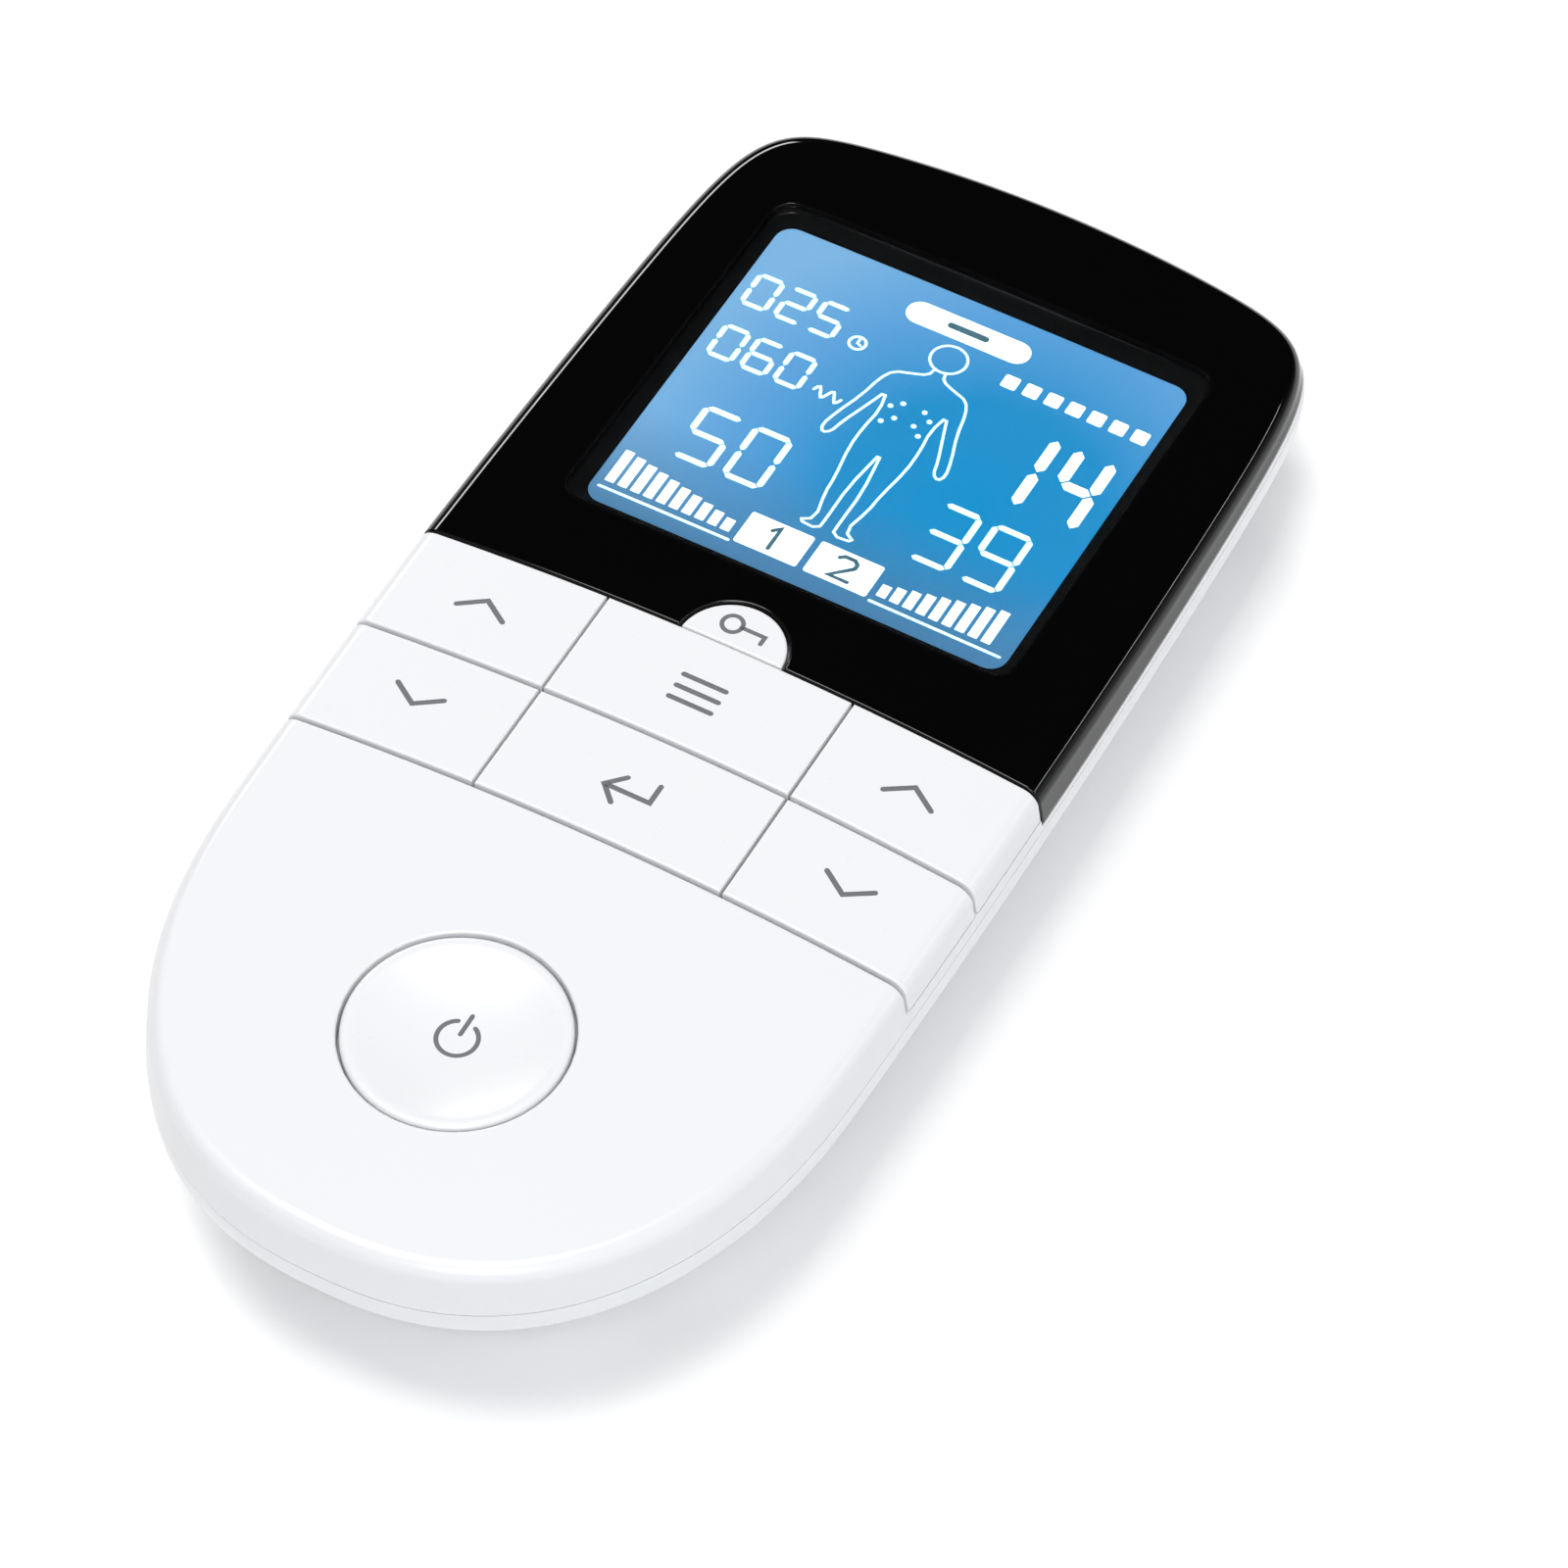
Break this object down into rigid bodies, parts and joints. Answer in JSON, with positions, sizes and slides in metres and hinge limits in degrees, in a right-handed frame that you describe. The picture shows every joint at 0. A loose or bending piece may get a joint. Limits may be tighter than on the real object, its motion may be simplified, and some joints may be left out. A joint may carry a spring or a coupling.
{
  "type": "handheld nerve and muscle stimulator",
  "caption": "Flat hand-held nerve and muscle stimulator with a round front end, a glossy display panel, flap keys, a round power key, lead sockets and a sliding battery lid.",
  "frame": {"origin": "middle of the case's plan, on the flat back that it lies on", "axes": "+X to the user's right, +Y towards the display and the lead sockets, +Z out of the face with the keys"},
  "size_m": [0.063, 0.132, 0.02],
  "materials": {
    "shell": "satin, moulded white",
    "key": "satin, moulded white with grey printed symbols",
    "panel": "polished black",
    "window": "clear polished plastic",
    "lcd": "blue backlit liquid crystal display with pale segments",
    "holder": "matt black moulding",
    "guide": "frosted clear plastic",
    "chip": "matt black epoxy",
    "rubber": "dark conductive rubber",
    "board": "green solder mask",
    "metal": "nickel plated steel",
    "copper": "varnished copper wire on dark cores",
    "sleeve": "shrink sleeve",
    "cell": "printed metal can, plain green and silver",
    "socket": "black moulding"
  },
  "bodies": {
    "case": {"top_housing": "shell", "rear_housing": "shell", "display_cover": "panel", "display_window": "window", "lcd_glass": "lcd", "lcd_holder": "holder", "light_guide": "guide", "backlight_bar": "chip", "lcd_connector": "rubber", "main_board": "board", "switch_left_up": "metal", "switch_left_down": "metal", "switch_right_up": "metal", "switch_right_down": "metal", "switch_menu": "metal", "switch_enter": "metal", "switch_lock": "metal", "switch_power": "metal", "cell_1": "cell", "cell_2": "cell", "cell_3": "cell", "contact_front_pair": "metal", "contact_front_single": "metal", "contact_back_single": "metal", "contact_back_pair": "metal", "controller_chip": "chip", "clock_crystal": "metal", "output_transformer_1": "copper", "output_transformer_2": "copper", "capacitor_1": "sleeve", "capacitor_2": "sleeve", "buzzer": "holder", "output_jack_1": "socket", "output_jack_2": "socket", "screw_1": "metal", "screw_2": "metal", "screw_3": "metal", "screw_4": "metal"},
    "key_left_up": {"key_left_up": "key", "actuator_left_up": "holder"},
    "key_left_down": {"key_left_down": "key", "actuator_left_down": "holder"},
    "key_right_up": {"key_right_up": "key", "actuator_right_up": "holder"},
    "key_right_down": {"key_right_down": "key", "actuator_right_down": "holder"},
    "key_menu": {"key_menu": "key", "actuator_menu": "holder"},
    "key_enter": {"key_enter": "key", "actuator_enter": "holder"},
    "key_lock": {"key_lock": "key", "actuator_lock": "holder"},
    "key_power": {"key_power": "key", "actuator_power": "holder"},
    "lid": {"battery_lid": "shell"}
  },
  "joints": [
    {"name": "left_up_press", "type": "hinge", "parent": "case", "child": "key_left_up", "pos_m": [-0.031, -0.0012, 0.0159], "axis": [0, 1, 0], "range_deg": [0, 1.6], "stiffness_Nm_per_rad": 0.5, "springref_deg": -0.23},
    {"name": "left_down_press", "type": "hinge", "parent": "case", "child": "key_left_down", "pos_m": [-0.031, -0.0132, 0.0159], "axis": [0, 1, 0], "range_deg": [0, 1.6], "stiffness_Nm_per_rad": 0.5, "springref_deg": -0.23},
    {"name": "right_up_press", "type": "hinge", "parent": "case", "child": "key_right_up", "pos_m": [0.031, -0.0012, 0.0159], "axis": [0, -1, 0], "range_deg": [0, 1.6], "stiffness_Nm_per_rad": 0.5, "springref_deg": -0.23},
    {"name": "right_down_press", "type": "hinge", "parent": "case", "child": "key_right_down", "pos_m": [0.031, -0.0132, 0.0159], "axis": [0, -1, 0], "range_deg": [0, 1.6], "stiffness_Nm_per_rad": 0.5, "springref_deg": -0.23},
    {"name": "menu_press", "type": "slide", "parent": "case", "child": "key_menu", "axis": [0, 0, -1], "range_m": [0, 0.0004], "stiffness_N_per_m": 1500, "springref_m": -0.0001},
    {"name": "enter_press", "type": "slide", "parent": "case", "child": "key_enter", "axis": [0, 0, -1], "range_m": [0, 0.0004], "stiffness_N_per_m": 1500, "springref_m": -0.0001},
    {"name": "lock_press", "type": "slide", "parent": "case", "child": "key_lock", "axis": [0, 0, -1], "range_m": [0, 0.0004], "stiffness_N_per_m": 1500, "springref_m": -0.0001},
    {"name": "power_press", "type": "slide", "parent": "case", "child": "key_power", "axis": [0, 0, -1], "range_m": [0, 0.0004], "stiffness_N_per_m": 1500, "springref_m": -0.0001},
    {"name": "lid_slide", "type": "slide", "parent": "case", "child": "lid", "axis": [0, -1, 0], "range_m": [0, 0.012]}
  ]
}
